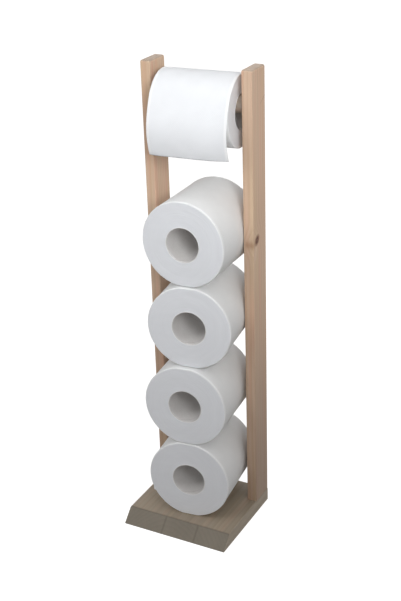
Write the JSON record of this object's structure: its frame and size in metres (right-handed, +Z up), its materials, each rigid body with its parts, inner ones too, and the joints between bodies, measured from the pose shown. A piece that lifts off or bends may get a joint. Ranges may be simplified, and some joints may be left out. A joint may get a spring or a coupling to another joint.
{
  "type": "toilet roll holder",
  "caption": "Freestanding wooden toilet roll holder: flat uprights on a bevelled base carry the roll in use on a lift-out bar, above a bay that holds a stack of spare rolls.",
  "frame": {"origin": "centre of the base board's underside, on the floor", "axes": "+Z up, -Y to the front, +X to the right as seen from the front"},
  "size_m": [0.15, 0.167, 0.612],
  "materials": {
    "upright_wood": "planed softwood, matt",
    "base_wood": "planed softwood, greyish, matt",
    "bar_wood": "turned dowel, matt",
    "screws": "zinc-plated",
    "paper": "soft tissue",
    "core": "grey-beige cardboard"
  },
  "bodies": {
    "holder": {"base_board": "base_wood", "left_upright": "upright_wood", "right_upright": "upright_wood", "upright_screws": "screws"},
    "bar": {"roll_bar": "bar_wood", "loose_sheet": "paper"},
    "top_roll": {"top_roll_paper": "paper", "top_roll_core": "core"},
    "spare_roll_1": {"spare_roll_1_paper": "paper", "spare_roll_1_core": "core"},
    "spare_roll_2": {"spare_roll_2_paper": "paper", "spare_roll_2_core": "core"},
    "spare_roll_3": {"spare_roll_3_paper": "paper", "spare_roll_3_core": "core"},
    "spare_roll_4": {"spare_roll_4_paper": "paper", "spare_roll_4_core": "core"}
  },
  "joints": [
    {"name": "bar_lift_out", "type": "slide", "parent": "holder", "child": "bar", "axis": [0, 0.866, 0.5], "range_m": [0, 0.1]},
    {"name": "top_roll_spin", "type": "hinge", "parent": "bar", "child": "top_roll", "pos_m": [0, 0.049, 0.55619], "axis": [0.9965, 0.0831, 0], "continuous": true},
    {"name": "spare_roll_1_pull", "type": "slide", "parent": "holder", "child": "spare_roll_1", "axis": [0.0206, -0.9998, 0], "range_m": [0, 0.15]},
    {"name": "spare_roll_2_pull", "type": "slide", "parent": "holder", "child": "spare_roll_2", "axis": [0.1357, -0.9908, 0], "range_m": [0, 0.15]},
    {"name": "spare_roll_3_pull", "type": "slide", "parent": "holder", "child": "spare_roll_3", "axis": [0.0983, -0.9952, 0], "range_m": [0, 0.15]},
    {"name": "spare_roll_4_pull", "type": "slide", "parent": "holder", "child": "spare_roll_4", "axis": [0.1155, -0.9933, 0], "range_m": [0, 0.15]}
  ]
}
